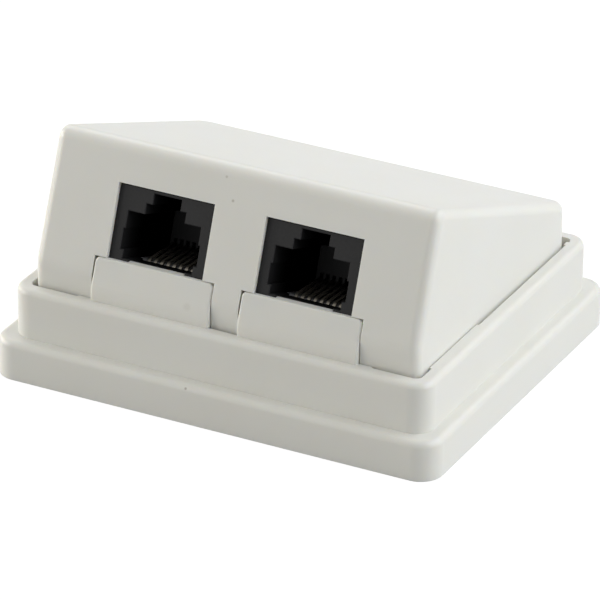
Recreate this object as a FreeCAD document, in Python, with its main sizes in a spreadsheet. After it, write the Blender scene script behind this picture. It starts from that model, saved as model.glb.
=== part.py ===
import FreeCAD, Part
import math
import os
import re
import Sketcher

# A two-port surface mount jack box. A shallow base screws to the wall and stands a rim round the
# cover. One circuit board lies tilted in the base and carries two 8-way jacks and, behind each jack,
# two rows of insulation displacement slots with push-on caps. The cover stands inside the rim, leans
# back with the jack faces and lifts straight off.
#
# Frame: X to the right along the front, Y from the front to the back, Z up, origin in the middle of
# the underside of the base. What is tilted with the board is drawn in the board's own frame: X to
# the right, Y backwards along the plug's way in, Z square to the board, with its origin where the
# board's top meets the cover's leaning front face.

doc = FreeCAD.newDocument("surface_mount_jack_box")
sheet = doc.addObject("Spreadsheet::Sheet", "sizes")

SIZES = (
    # base moulding
    ("base_width", 72.0, "flange, left to right"),
    ("base_depth", 60.0, "flange, front to back"),
    ("flange_height", 6.2, "underside to the ledge round the rim"),
    ("flange_radius", 3.5, "upright corners of the flange"),
    ("flange_round", 1.0, "top edge of the flange"),
    ("rim_inset", 2.2, "ledge between the flange's side and the rim"),
    ("rim_height", 14.0, "underside to the top of the rim"),
    ("rim_wall", 2.05, "thickness of the rim"),
    ("rim_radius", 3.0, "upright corners of the rim, outside"),
    ("rim_round", 0.9, "top outer edge of the rim"),
    ("well_radius", 1.0, "upright corners of the rim, inside"),
    ("floor_thickness", 2.2, "floor of the base"),
    # cover moulding
    ("cover_gap", 0.45, "open gap between the rim and the cover"),
    ("cover_height", 37.15, "underside of the base to the cover's front top corner, before rounding"),
    ("cover_wall", 1.9, "thickness of the cover"),
    ("cover_round", 1.5, "outer edges of the cover"),
    ("back_round", 2.8, "upright back corners of the cover"),
    ("brow_round", 2.0, "edge between the cover's leaning front and its top"),
    ("seat_height", 8.0, "height of the pads that the cover's edge stands on"),
    ("kink_height", 17.9, "where the front stops being upright and leans back"),
    ("kink_round", 4.0, "radius of the bend at the kink, on the cover and the tabs"),
    ("lean", 20.2, "degrees that the front leans back and that the board slopes down"),
    ("top_slope", 21.5, "degrees that the cover's top slopes down to the back"),
    ("side_draft", 0.8, "degrees of draft on the cover's sides"),
    # tabs of the base in front of the jacks
    ("tab_width", 19.35, "width of a front tab"),
    ("tab_height", 20.4, "underside of the base to the top of a tab"),
    ("tab_proud", 0.8, "upright part of a tab in front of the cover's skirt"),
    ("tab_back", 2.0, "upright back of a tab behind the cover's front"),
    ("tab_corner", 0.8, "rounded top corners of a tab"),
    ("tab_round", 0.35, "rounded front edges of a tab"),
    ("tab_gap", 0.15, "gap between a tab and the cover's slot"),
    ("shoulder_width", 2.2, "pad of the rim beside each tab"),
    ("pad_gap", 0.1, "gap between the rim's pads and the cover"),
    ("side_pad_front", 3.95, "from the front of the well to the side pad"),
    ("side_pad_length", 15.5, "side pad, front to back"),
    ("back_pad_length", 1.0, "small pad at the back of each side"),
    ("back_pad_inset", 1.3, "from the back of the well to that small pad"),
    # board
    ("board_front_height", 18.5, "height of the board's top at the cover's front face"),
    ("board_setback", 2.8, "front face of the cover to the board's front edge"),
    ("board_length", 33.2, "board, front to back along its slope"),
    ("board_width", 45.0, "board, left to right"),
    ("board_thickness", 1.6, "board"),
    ("board_corner", 1.0, "rounded corners of the board"),
    # jacks
    ("jack_spacing", 24.0, "centre to centre of the two jacks"),
    ("jack_shift", 0.25, "middle of the box to the middle between the jacks"),
    ("jack_width", 15.5, "jack body"),
    ("jack_height", 13.3, "jack body, square to the board"),
    ("jack_length", 15.2, "jack body, front to back"),
    ("jack_recess", 0.6, "jack face behind the cover's face"),
    ("jack_gap", 0.1, "gap between a jack and the moulding round it"),
    ("plug_width", 11.9, "main width of the plug opening"),
    ("plug_top", 9.55, "top of the main opening above the board"),
    ("plug_depth", 12.4, "depth of the plug opening"),
    ("step_width", 6.5, "width of the step over the main opening"),
    ("step_top", 11.15, "top of that step above the board"),
    ("latch_width", 4.5, "width of the latch slot"),
    ("latch_top", 12.8, "top of the latch slot above the board"),
    ("foot_width", 11.4, "width of the opening below its side grooves"),
    ("groove_depth", 0.3, "side grooves of the opening"),
    ("groove_bottom", 3.85, "lower edge of a side groove above the board"),
    ("groove_top", 6.9, "upper edge of a side groove above the board"),
    ("jack_floor", 2.25, "floor of the opening above the board"),
    ("ledge_height", 0.3, "raised strips along both sides of the floor"),
    ("trough_width", 9.2, "lower middle of the floor"),
    ("edge_break", 0.12, "broken front edges of a jack"),
    ("lip_setback", 1.2, "notch in the front lip under the opening"),
    ("peg_diameter", 3.0, "locating pegs under a jack"),
    ("peg_length", 2.6, "locating pegs below the jack"),
    ("peg_spacing", 11.8, "centre to centre of the pegs"),
    ("peg_place", 8.6, "jack face to the pegs"),
    ("peg_gap", 0.1, "gap round a peg in the board"),
    # contacts of a jack and the carrier that spaces them
    ("contact_pitch", 1.02, "contact to contact"),
    ("contact_width", 0.45, "contact wire, across"),
    ("contact_thickness", 0.3, "contact wire, through"),
    ("contact_place", 6.2, "cover's face to the front bend's middle"),
    ("bend_radius", 0.8, "middle of a wire round the carrier's nose"),
    ("contact_rise", 15.0, "degrees that the free legs rise to the back"),
    ("contact_reach", 7.6, "free leg, front to back"),
    ("pin_row", 11.9, "cover's face to the rear row of board pins"),
    ("pin_row_spacing", 2.54, "between the two rows of board pins"),
    ("pin_length", 2.6, "pins below the board's top"),
    ("pin_hole_gap", 0.2, "gap round a pin in the board"),
    ("carrier_width", 8.9, "comb wall of the contact carrier"),
    ("nose_width", 11.2, "nose of the contact carrier"),
    ("carrier_top", 9.3, "top of the carrier's comb wall above the board"),
    ("comb_thickness", 1.9, "carrier's comb wall"),
    ("comb_slot_width", 0.62, "slots of the comb wall"),
    ("comb_slot_depth", 1.1, "slots of the comb wall"),
    ("comb_slot_top", 5.3, "top of the comb's slots above the board"),
    ("wire_clearance", 0.05, "between a wire and the carrier's nose"),
    # insulation displacement blocks
    ("block_place", 17.2, "cover's face to the front of a block"),
    ("block_width", 5.2, "block, left to right"),
    ("block_height", 11.6, "block above the board"),
    ("block_offset", 5.6, "middle of a jack to the middle of a block"),
    ("block_end", 2.35, "end of a block to its first slot"),
    ("slot_pitch", 3.9, "slot to slot"),
    ("slot_width", 1.2, "wire slot"),
    ("slot_mouth", 2.6, "wire slot at the top of its lead-in"),
    ("slot_lead", 1.6, "height of the lead-in"),
    ("slot_depth", 5.6, "wire slot below the block's top"),
    ("blade_thickness", 0.5, "contact blade"),
    ("blade_width", 2.6, "contact blade, front to back"),
    ("blade_height", 10.4, "contact blade above the board"),
    ("blade_slit", 0.32, "slit that grips a wire"),
    ("blade_slit_depth", 4.2, "slit below the blade's top"),
    ("blade_mouth", 1.0, "mouth of the slit"),
    ("blade_lead", 0.8, "height of the slit's mouth"),
    ("blade_foot", 2.0, "solid foot of a blade above the board"),
    ("tail_width", 0.8, "blade's tail through the board"),
    ("blade_gap", 0.1, "gap round a blade in its block"),
    # caps over the blocks
    ("cap_wall", 0.8, "sides of a cap"),
    ("cap_top", 1.2, "top of a cap"),
    ("cap_break", 0.4, "broken top edges of a cap"),
    ("cap_skirt", 4.2, "sides of a cap below the block's top"),
    ("cap_gap", 0.1, "gap between a cap and its block"),
    ("cap_notch", 1.7, "wire notches in a cap's sides"),
    ("cap_notch_height", 2.2, "wire notches above the skirt's edge"),
    ("presser_width", 0.9, "ribs in a cap that press the wires down"),
    ("presser_length", 2.4, "those ribs below the cap's top"),
    # inside of the base
    ("rib_thickness", 1.6, "sloping ribs under the board"),
    ("rib_inset", 1.2, "board's side to the middle of an outer rib"),
    ("hook_width", 5.0, "snap hooks behind the board"),
    ("hook_thickness", 1.3, "snap hooks"),
    ("hook_catch", 0.7, "how far a hook reaches over the board"),
    ("hook_nose", 2.2, "height of a hook's nose"),
    ("hook_spacing", 30.0, "centre to centre of the hooks"),
    ("hook_gap", 0.15, "gap between a hook and the board"),
    ("seat_length", 4.0, "pads that the cover's edge stands on"),
    ("seat_depth", 2.6, "reach of those pads from the rim"),
    ("seat_spacing", 32.0, "centre to centre of the pads on one side"),
    ("screw_spacing", 54.4, "centre to centre of the wall screws"),
    ("screw_slot_width", 4.2, "slots for the wall screws"),
    ("screw_slot_length", 6.4, "slots for the wall screws, end to end"),
    ("entry_width", 20.0, "cable entry in the floor, left to right"),
    ("entry_depth", 8.0, "cable entry, front to back"),
    ("entry_place", 17.4, "middle of the base to the middle of the cable entry"),
    ("entry_radius", 2.0, "corners of the cable entry"),
    ("knockout_width", 12.0, "thin panel in the back wall to break out"),
    ("knockout_height", 7.0, "that panel above the floor"),
    ("knockout_skin", 0.7, "thickness of that panel"),
    # how shapes are made
    ("overshoot", 1.0, "how far a cut runs past the face that it opens"),
    ("nose_share", 0.95, "share of a nose's half height that each rounded corner takes"),
)

for row, (alias, value, note) in enumerate(SIZES, start=1):
    sheet.set(f"A{row}", alias)
    sheet.set(f"B{row}", str(value))
    sheet.setAlias(f"B{row}", alias)
    sheet.set(f"C{row}", note)
doc.recompute()

NAMES = re.compile(r"\b(" + "|".join(alias for alias, _, _ in SIZES) + r")\b")

# Lengths that several pieces share, written once from the driving sizes.
RIM_X = "(base_width / 2 - rim_inset)"
RIM_Y = "(base_depth / 2 - rim_inset)"
WELL_X = f"({RIM_X} - rim_wall)"
WELL_Y = f"({RIM_Y} - rim_wall)"
COVER_X = f"({WELL_X} - cover_gap)"
COVER_Y = f"({WELL_Y} - cover_gap)"
SLOPE = "tan(lean * 1 deg)"
TOP_SLOPE = "tan(top_slope * 1 deg)"
COVER_BROW = f"(-{COVER_Y} + (cover_height - kink_height) * {SLOPE})"
BOARD_Y = f"(-{COVER_Y} + (board_front_height - kink_height) * {SLOPE})"
BOARD_BACK = "(board_setback + board_length)"
JACK_BACK = "(jack_recess + jack_length)"
CAVITY_BACK = "(jack_recess + plug_depth)"
NOSE_HEIGHT = "(jack_floor - bend_radius + contact_thickness)"
NOSE_RADIUS = "(bend_radius - contact_thickness / 2 - wire_clearance)"
BLOCK_LENGTH = "(2 * block_end + 3 * slot_pitch)"
FIRST_SLOT = "(block_place + block_end)"
PORTS = (("left", "(jack_shift - jack_spacing / 2)"), ("right", "(jack_shift + jack_spacing / 2)"))
CONTACTS_PER_ROW = 4
SLOTS_PER_BLOCK = 4


def formula(text):
    """The text as an expression on the sheet's cells."""
    return NAMES.sub(r"sizes.\1", text)


def measure(text):
    """The text's value in millimetres."""
    return float(sheet.evalExpression(formula(text)))


def new_body(label):
    body = doc.addObject("PartDesign::Body", label)
    body.Label = label
    return body


def origin_part(body, role):
    return next(part for part in body.Origin.OriginFeatures if part.Role == role)


def new_sketch(body, name, role, offset="0"):
    """An empty sketch on one of the body's planes, moved along the plane's normal by offset."""
    sketch = body.newObject("Sketcher::SketchObject", name)
    sketch.AttachmentSupport = [(origin_part(body, role), "")]
    sketch.MapMode = "FlatFace"
    sketch.setExpression("AttachmentOffset.Base.z", formula(offset))
    return sketch


def pin_point(sketch, geometry, point, across, along):
    """Holds one point of a sketch at two distances from its origin."""
    for kind, text in (("DistanceX", across), ("DistanceY", along)):
        number = sketch.addConstraint(
            Sketcher.Constraint(kind, -1, 1, geometry, point, measure(text))
        )
        sketch.setExpression(f"Constraints[{number}]", formula(text))


def add_polygon(sketch, points):
    """A closed outline through the points, each a pair of formulas."""
    places = [FreeCAD.Vector(measure(a), measure(b), 0) for a, b in points]
    first = sketch.GeometryCount
    count = len(points)
    for i in range(count):
        sketch.addGeometry(Part.LineSegment(places[i], places[(i + 1) % count]))
    for i in range(count):
        sketch.addConstraint(
            Sketcher.Constraint("Coincident", first + i, 2, first + (i + 1) % count, 1)
        )
    for i, (across, along) in enumerate(points):
        pin_point(sketch, first + i, 1, across, along)


def add_rectangle(sketch, low_x, high_x, low_y, high_y):
    add_polygon(sketch, ((low_x, low_y), (high_x, low_y), (high_x, high_y), (low_x, high_y)))


def add_hole(sketch, across, along, half):
    """A rectangle round a middle, half as wide and half as long as the pair says."""
    x, y = half
    add_rectangle(sketch, f"{across} - {x}", f"{across} + {x}", f"{along} - {y}", f"{along} + {y}")


def add_circle(sketch, across, along, radius):
    place = FreeCAD.Vector(measure(across), measure(along), 0)
    number = sketch.addGeometry(Part.Circle(place, FreeCAD.Vector(0, 0, 1), measure(radius)))
    pin_point(sketch, number, 3, across, along)
    limit = sketch.addConstraint(Sketcher.Constraint("Radius", number, measure(radius)))
    sketch.setExpression(f"Constraints[{limit}]", formula(radius))


def add_slot(sketch, across, along, length, width):
    """A round-ended slot along the sketch's X axis."""
    radius = measure(width) / 2
    reach = measure(length) / 2 - radius
    x, y = measure(across), measure(along)
    vector = FreeCAD.Vector
    up = vector(0, 0, 1)
    quarter = math.pi / 2
    lower = Part.LineSegment(vector(x - reach, y - radius), vector(x + reach, y - radius))
    upper = Part.LineSegment(vector(x + reach, y + radius), vector(x - reach, y + radius))
    right = Part.ArcOfCircle(Part.Circle(vector(x + reach, y), up, radius), -quarter, quarter)
    left = Part.ArcOfCircle(Part.Circle(vector(x - reach, y), up, radius), quarter, 3 * quarter)
    first = sketch.GeometryCount
    for piece in (lower, right, upper, left):
        sketch.addGeometry(piece)
    for here in range(4):
        there = (here + 1) % 4
        sketch.addConstraint(Sketcher.Constraint("Tangent", first + here, 2, first + there, 1))
    pin_point(sketch, first + 1, 3, f"({across} + {length} / 2 - {width} / 2)", along)
    pin_point(sketch, first + 3, 3, f"({across} - {length} / 2 + {width} / 2)", along)
    limit = sketch.addConstraint(Sketcher.Constraint("Radius", first + 1, radius))
    sketch.setExpression(f"Constraints[{limit}]", formula(f"{width} / 2"))


def extrude(body, kind, name, sketch, length, backwards=False):
    """A Pad or a Pocket of the sketch."""
    feature = body.newObject(f"PartDesign::{kind}", name)
    feature.Profile = sketch
    feature.setExpression("Length", formula(length))
    feature.Reversed = backwards
    doc.recompute()
    return feature


def cut(body, name, sketch, length, backwards=False):
    """A pocket that must take something away."""
    before = body.Shape.Volume
    feature = extrude(body, "Pocket", name, sketch, length, backwards)
    assert body.Shape.Volume < before - 1e-6, f"{name} cuts nothing"
    return feature


def block(body, name, kind, low, high, tilted_at=None):
    """A box between two corners, added or taken away, square to the body or tilted with the board."""
    box = body.newObject(f"PartDesign::{kind}Box", name)
    for side, a, b in zip(("Length", "Width", "Height"), low, high):
        box.setExpression(side, formula(f"({b}) - ({a})"))
    x, y, z = low
    if tilted_at is not None:
        x = f"({tilted_at}) + ({x})"
        y, z = (
            f"{BOARD_Y} + ({y}) * cos(lean * 1 deg) + ({z}) * sin(lean * 1 deg)",
            f"board_front_height - ({y}) * sin(lean * 1 deg) + ({z}) * cos(lean * 1 deg)",
        )
        box.Placement.Rotation = FreeCAD.Rotation(FreeCAD.Vector(1, 0, 0), -measure("lean"))
        box.setExpression("Placement.Rotation.Angle", formula("-lean * 1 deg"))
    for axis, text in zip("xyz", (x, y, z)):
        box.setExpression(f"Placement.Base.{axis}", formula(text))
    doc.recompute()
    return box


def repeat(body, name, features, role, count, pitch):
    """The features again along one of the body's axes."""
    pattern = body.newObject("PartDesign::LinearPattern", name)
    pattern.Originals = features
    pattern.Direction = (origin_part(body, role), [""])
    pattern.Mode = "Spacing"
    pattern.Occurrences = count
    pattern.setExpression("Offset", formula(pitch))
    body.Tip = pattern
    doc.recompute()
    return pattern


def mirror(body, name, features, role="YZ_Plane"):
    """The features again on the other side of one of the body's planes."""
    feature = body.newObject("PartDesign::Mirrored", name)
    feature.Originals = features
    feature.MirrorPlane = (origin_part(body, role), [""])
    body.Tip = feature
    doc.recompute()
    return feature


def round_edges(body, name, chosen, radius, kind="Fillet"):
    """A fillet, or a chamfer, on every edge of the body for which chosen is true."""
    base = body.Tip
    edges = [
        f"Edge{number}"
        for number, edge in enumerate(base.Shape.Edges, start=1)
        if chosen(edge)
    ]
    assert edges, f"{name} finds no edges"
    feature = body.newObject(f"PartDesign::{kind}", name)
    feature.Base = (base, edges)
    feature.setExpression("Radius" if kind == "Fillet" else "Size", formula(radius))
    doc.recompute()
    return feature


def near(a, b):
    return abs(a - b) < 1e-3


def upright_edge(half_x, half_y, low=None):
    """Chooses the upright edges at the corners of a centred rectangle."""
    x, y = measure(half_x), measure(half_y)
    floor = None if low is None else measure(low)

    def chosen(edge):
        box = edge.BoundBox
        if not (near(box.XLength, 0) and near(box.YLength, 0)):
            return False
        at_corner = near(abs(box.Center.x), x) and near(abs(box.Center.y), y)
        return at_corner and (floor is None or box.ZMin > floor - 1e-3)

    return chosen


def flat_edge(height, half_x, half_y):
    """Chooses the edges at one height that run round the outside of a centred rectangle."""
    z, x, y = measure(height), measure(half_x), measure(half_y)

    def chosen(edge):
        box = edge.BoundBox
        if not (near(box.ZMin, z) and near(box.ZMax, z)):
            return False
        widest = max(abs(box.XMin), abs(box.XMax))
        deepest = max(abs(box.YMin), abs(box.YMax))
        return near(widest, x) or near(deepest, y)

    return chosen


def tilt(body, x="0"):
    """Places a body that is drawn in the board's frame."""
    body.Placement = FreeCAD.Placement(
        FreeCAD.Vector(0, 0, 0), FreeCAD.Rotation(FreeCAD.Vector(1, 0, 0), -measure("lean"))
    )
    body.setExpression("Placement.Rotation.Angle", formula("-lean * 1 deg"))
    body.setExpression("Placement.Base.x", formula(x))
    body.setExpression("Placement.Base.y", formula(BOARD_Y))
    body.setExpression("Placement.Base.z", formula("board_front_height"))


# ---------------------------------------------------------------- base

def base_walls(body):
    """Flange, rim and the well between them, with their rounded corners and edges."""
    outline = new_sketch(body, "flange_outline", "XY_Plane")
    add_rectangle(outline, "-base_width / 2", "base_width / 2", "-base_depth / 2", "base_depth / 2")
    extrude(body, "Pad", "flange", outline, "flange_height")
    corners = upright_edge("base_width / 2", "base_depth / 2")
    round_edges(body, "flange_corners", corners, "flange_radius")
    outline = new_sketch(body, "rim_outline", "XY_Plane", "flange_height")
    add_rectangle(outline, f"-{RIM_X}", RIM_X, f"-{RIM_Y}", RIM_Y)
    extrude(body, "Pad", "rim", outline, "rim_height - flange_height")
    round_edges(body, "rim_corners", upright_edge(RIM_X, RIM_Y), "rim_radius")
    ledge = flat_edge("flange_height", "base_width / 2", "base_depth / 2")
    round_edges(body, "flange_edge", ledge, "flange_round")
    round_edges(body, "rim_edge", flat_edge("rim_height", RIM_X, RIM_Y), "rim_round")
    outline = new_sketch(body, "well_outline", "XY_Plane", "rim_height")
    add_rectangle(outline, f"-{WELL_X}", WELL_X, f"-{WELL_Y}", WELL_Y)
    cut(body, "well", outline, "rim_height - floor_thickness")
    round_edges(body, "well_corners", upright_edge(WELL_X, WELL_Y), "well_radius")


def base_floor_openings(body):
    """Slots for the wall screws, the cable entry and the thin panel in the back wall."""
    openings = new_sketch(body, "floor_openings", "XY_Plane", "floor_thickness")
    for side in ("-", ""):
        add_slot(openings, f"({side}screw_spacing / 2)", "0", "screw_slot_length", "screw_slot_width")
    cut(body, "screw_slots", openings, "floor_thickness")
    entry = new_sketch(body, "entry_outline", "XY_Plane", "floor_thickness")
    add_rectangle(
        entry,
        "-entry_width / 2",
        "entry_width / 2",
        "entry_place - entry_depth / 2",
        "entry_place + entry_depth / 2",
    )
    cut(body, "cable_entry", entry, "floor_thickness")
    x = measure("entry_width / 2")
    lines = [measure("entry_place - entry_depth / 2"), measure("entry_place + entry_depth / 2")]

    def entry_corner(edge):
        box = edge.BoundBox
        upright = near(box.XLength, 0) and near(box.YLength, 0)
        return upright and near(abs(box.XMin), x) and any(near(box.YMin, line) for line in lines)

    round_edges(body, "entry_corners", entry_corner, "entry_radius")
    block(
        body,
        "knockout",
        "Subtractive",
        ("-knockout_width / 2", f"{WELL_Y} - overshoot", "floor_thickness"),
        ("knockout_width / 2", f"{RIM_Y} - knockout_skin", "floor_thickness + knockout_height"),
    )


def base_tab(body, name, x):
    """The tab that closes the cover's slot under one jack, with the rim's shoulder beside it."""
    side = new_sketch(body, f"{name}_tab_side", "YZ_Plane", f"{x} - tab_width / 2")
    front = f"(-{COVER_Y} - tab_proud)"
    back = f"(-{COVER_Y} + tab_back)"
    lean_start = f"(kink_height - tab_proud / {SLOPE})"
    top_front = f"(-{COVER_Y} + (tab_height - kink_height) * {SLOPE})"
    add_polygon(
        side,
        (
            (front, "floor_thickness"),
            (back, "floor_thickness"),
            (back, "tab_height"),
            (top_front, "tab_height"),
            (front, lean_start),
        ),
    )
    extrude(body, "Pad", f"{name}_tab", side, "tab_width")
    sides = [measure(f"{x} - tab_width / 2"), measure(f"{x} + tab_width / 2")]
    top, rim = measure("tab_height"), measure("rim_height")

    def top_corner(edge):
        box = edge.BoundBox
        level = near(box.ZMin, top) and near(box.ZMax, top) and near(box.XLength, 0)
        return level and any(near(box.XMin, line) for line in sides)

    round_edges(body, f"{name}_tab_corners", top_corner, "tab_corner")
    kink = measure(lean_start)

    def kink_edge(edge):
        box = edge.BoundBox
        return near(box.ZMin, kink) and near(box.ZMax, kink) and box.XMin > sides[0] - 1e-3

    round_edges(body, f"{name}_tab_bend", kink_edge, "kink_round")
    lean_top = measure(top_front)

    def front_edge(edge):
        box = edge.BoundBox
        inside = box.XMin > sides[0] - 1e-3 and box.XMax < sides[1] + 1e-3
        above = box.ZMin > rim - 1e-3 and box.ZMax > rim + 1e-3
        on_face = box.YMax < lean_top + 1e-3
        across_kink = near(box.ZLength, 0) and box.ZMin < top - 1e-3
        return inside and above and on_face and not across_kink

    round_edges(body, f"{name}_tab_edges", front_edge, "tab_round")
    outward = "-" if measure(x) < 0 else ""
    edge = f"({x} {outward or '+'} tab_width / 2)"
    low, high = (f"{edge} - shoulder_width", edge) if outward else (edge, f"{edge} + shoulder_width")
    block(
        body,
        f"{name}_shoulder",
        "Additive",
        (low, f"-{WELL_Y} - rim_wall / 2", "floor_thickness"),
        (high, f"-{COVER_Y} - pad_gap", "rim_height"),
    )


def base_jack_seat(body, name, x):
    """Room behind a tab for the jack's foot, with a block left standing in the notch of its lip."""
    lip = "(trough_width / 2 - jack_gap)"
    wide = "(jack_width / 2 + jack_gap)"
    face = "(jack_recess - jack_gap)"
    for side, low, high in (("left", f"-{wide}", f"-{lip}"), ("right", lip, wide)):
        block(
            body,
            f"{name}_jack_seat_{side}",
            "Subtractive",
            (low, face, "-jack_gap"),
            (high, "jack_recess + tab_back + tab_proud", "jack_height"),
            tilted_at=x,
        )
    block(
        body,
        f"{name}_jack_seat_middle",
        "Subtractive",
        (f"-{lip}", "jack_recess + lip_setback - jack_gap", "-jack_gap"),
        (lip, "jack_recess + tab_back + tab_proud", "jack_height"),
        tilted_at=x,
    )


def base_pads(body):
    """Pads of the rim that centre the cover, and the pads that its edge stands on."""
    front = f"(-{WELL_Y} + side_pad_front)"
    inner = f"{COVER_X} + pad_gap"
    root = f"{WELL_X} + rim_wall / 2"
    side_pad = block(
        body,
        "side_pad",
        "Additive",
        (inner, front, "floor_thickness"),
        (root, f"{front} + side_pad_length", "rim_height"),
    )
    back = f"({WELL_Y} - back_pad_inset)"
    back_pad = block(
        body,
        "back_pad",
        "Additive",
        (inner, f"{back} - back_pad_length", "floor_thickness"),
        (root, back, "rim_height"),
    )
    seats = [
        block(
            body,
            f"cover_seat_{name}",
            "Additive",
            (f"{WELL_X} - seat_depth", f"{middle} - seat_length / 2", "floor_thickness / 2"),
            (root, f"{middle} + seat_length / 2", "seat_height"),
        )
        for name, middle in (("front", "-seat_spacing / 2"), ("back", "seat_spacing / 2"))
    ]
    mirror(body, "other_side_pads", [side_pad, back_pad, *seats])


def base_board_ribs(body):
    """Three sloping ribs that the board lies on."""
    under = "(board_thickness / cos(lean * 1 deg))"
    front = f"({BOARD_Y} + board_setback)"
    back = f"({BOARD_Y} + ({BOARD_BACK} * cos(lean * 1 deg) - board_thickness * sin(lean * 1 deg)))"
    outer = "(board_width / 2 - rib_inset)"
    for name, x in (("left", f"-{outer}"), ("middle", "0"), ("right", outer)):
        side = new_sketch(body, f"{name}_rib_side", "YZ_Plane", f"{x} - rib_thickness / 2")
        low, high = "(floor_thickness / 2)", "board_front_height"
        add_polygon(
            side,
            (
                (front, low),
                (back, low),
                (back, f"{high} - {under} - ({back} - {BOARD_Y}) * {SLOPE}"),
                (front, f"{high} - {under} - ({front} - {BOARD_Y}) * {SLOPE}"),
            ),
        )
        extrude(body, "Pad", f"{name}_rib", side, "rib_thickness")


def base_hooks(body):
    """Two snap hooks that hold the board's back edge down."""
    edge = f"({BOARD_Y} + {BOARD_BACK} * cos(lean * 1 deg) + hook_gap)"
    lip = f"({edge} - hook_gap - hook_catch)"
    board_top = f"(board_front_height - ({lip} - {BOARD_Y}) * {SLOPE} + hook_gap)"
    side = new_sketch(body, "hook_side", "YZ_Plane", "hook_spacing / 2 - hook_width / 2")
    add_polygon(
        side,
        (
            (edge, "floor_thickness / 2"),
            (f"{edge} + hook_thickness", "floor_thickness / 2"),
            (f"{edge} + hook_thickness", f"{board_top} + hook_nose"),
            (edge, f"{board_top} + hook_nose"),
            (lip, f"{board_top} + hook_nose / 3"),
            (lip, board_top),
            (edge, board_top),
        ),
    )
    hook = extrude(body, "Pad", "hook", side, "hook_width")
    mirror(body, "other_hook", [hook])


def make_base():
    body = new_body("base")
    base_walls(body)
    base_floor_openings(body)
    for name, x in PORTS:
        base_tab(body, name, x)
    base_pads(body)
    base_board_ribs(body)
    base_hooks(body)
    for name, x in PORTS:
        base_jack_seat(body, name, x)
    return body


# ---------------------------------------------------------------- cover

def make_cover():
    body = new_body("cover")
    cover_outside(body)
    cover_hollow(body)
    for name, x in PORTS:
        cover_openings(body, name, x)
    return body


def cover_outside(body):
    """The solid outline: upright skirt, leaning front, sloping top, drafted sides, rounded edges."""
    side = new_sketch(body, "cover_side", "YZ_Plane", f"-{COVER_X}")
    add_polygon(
        side,
        (
            (f"-{COVER_Y}", "seat_height"),
            (COVER_Y, "seat_height"),
            (COVER_Y, f"cover_height - ({COVER_Y} - {COVER_BROW}) * {TOP_SLOPE}"),
            (COVER_BROW, "cover_height"),
            (f"-{COVER_Y}", "kink_height"),
        ),
    )
    extrude(body, "Pad", "cover_block", side, f"2 * {COVER_X}")
    front = new_sketch(body, "draft_outline", "XZ_Plane", f"{COVER_Y} + overshoot")
    top = "(cover_height + overshoot)"
    inner = f"({COVER_X} - ({top} - seat_height) * tan(side_draft * 1 deg))"
    outer = f"({COVER_X} + overshoot)"
    for hand in ("-", ""):
        corners = ((COVER_X, "seat_height"), (outer, "seat_height"), (outer, top), (inner, top))
        add_polygon(front, tuple((hand + across, along) for across, along in corners))
    cut(body, "side_draft", front, f"2 * ({COVER_Y} + overshoot)")
    low, kink, high = measure("seat_height"), measure("kink_height"), measure("cover_height")
    wide = measure(COVER_X)

    def level_at(height):
        def chosen(edge):
            box = edge.BoundBox
            return near(box.ZMin, height) and near(box.ZMax, height) and box.XLength > wide

        return chosen

    round_edges(body, "kink_bend", level_at(kink), "kink_round")
    round_edges(body, "brow", level_at(high), "brow_round")
    back = measure(COVER_Y)

    def back_corner(edge):
        box = edge.BoundBox
        return near(box.YMin, back) and near(box.YMax, back) and box.ZLength > box.XLength

    round_edges(body, "back_corners", back_corner, "back_round")

    def outer_edge(edge):
        box = edge.BoundBox
        along_front = box.XLength > wide and box.YMax < back - 1e-3
        back_bend = box.ZMin < low + 1e-3 and box.YMax > 0
        return box.ZMax > low + 1e-3 and not along_front and not back_bend

    round_edges(body, "cover_edges", outer_edge, "cover_round")


def cover_hollow(body):
    """The room inside, open at the bottom, with walls of one thickness."""
    inside = new_sketch(body, "cover_inside", "YZ_Plane", f"-{COVER_X} + cover_wall")
    slant = "(cover_wall / cos(lean * 1 deg))"
    back = f"({COVER_Y} - cover_wall)"
    front_line = f"({slant} - {COVER_Y} - kink_height * {SLOPE})"
    top_line = f"(cover_height + {COVER_BROW} * {TOP_SLOPE} - cover_wall / cos(top_slope * 1 deg))"
    brow = f"(({top_line} - {TOP_SLOPE} * {front_line}) / (1 + {SLOPE} * {TOP_SLOPE}))"
    add_polygon(
        inside,
        (
            (f"-{back}", "seat_height"),
            (back, "seat_height"),
            (back, f"{top_line} - {back} * {TOP_SLOPE}"),
            (f"{front_line} + {brow} * {SLOPE}", brow),
            (f"-{back}", f"kink_height - ({slant} - cover_wall) / {SLOPE}"),
        ),
    )
    cut(body, "cover_hollow", inside, f"2 * ({COVER_X} - cover_wall)", backwards=True)


def cover_openings(body, name, x):
    """A slot for a tab of the base, open at the cover's edge, and the opening for a jack above it."""
    half = "(tab_width / 2 + tab_gap)"
    behind = f"(-{COVER_Y} + cover_wall + tab_proud)"
    block(
        body,
        f"{name}_tab_slot",
        "Subtractive",
        (f"{x} - {half}", f"-{COVER_Y} - overshoot", "seat_height - overshoot"),
        (f"{x} + {half}", behind, "tab_height + tab_gap"),
    )
    half = "(jack_width / 2 + jack_gap)"
    block(
        body,
        f"{name}_jack_opening",
        "Subtractive",
        (f"-{half}", "-overshoot", "-overshoot"),
        (half, "cover_wall + overshoot", "jack_height + jack_gap"),
        tilted_at=x,
    )


# ---------------------------------------------------------------- circuit board

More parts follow.
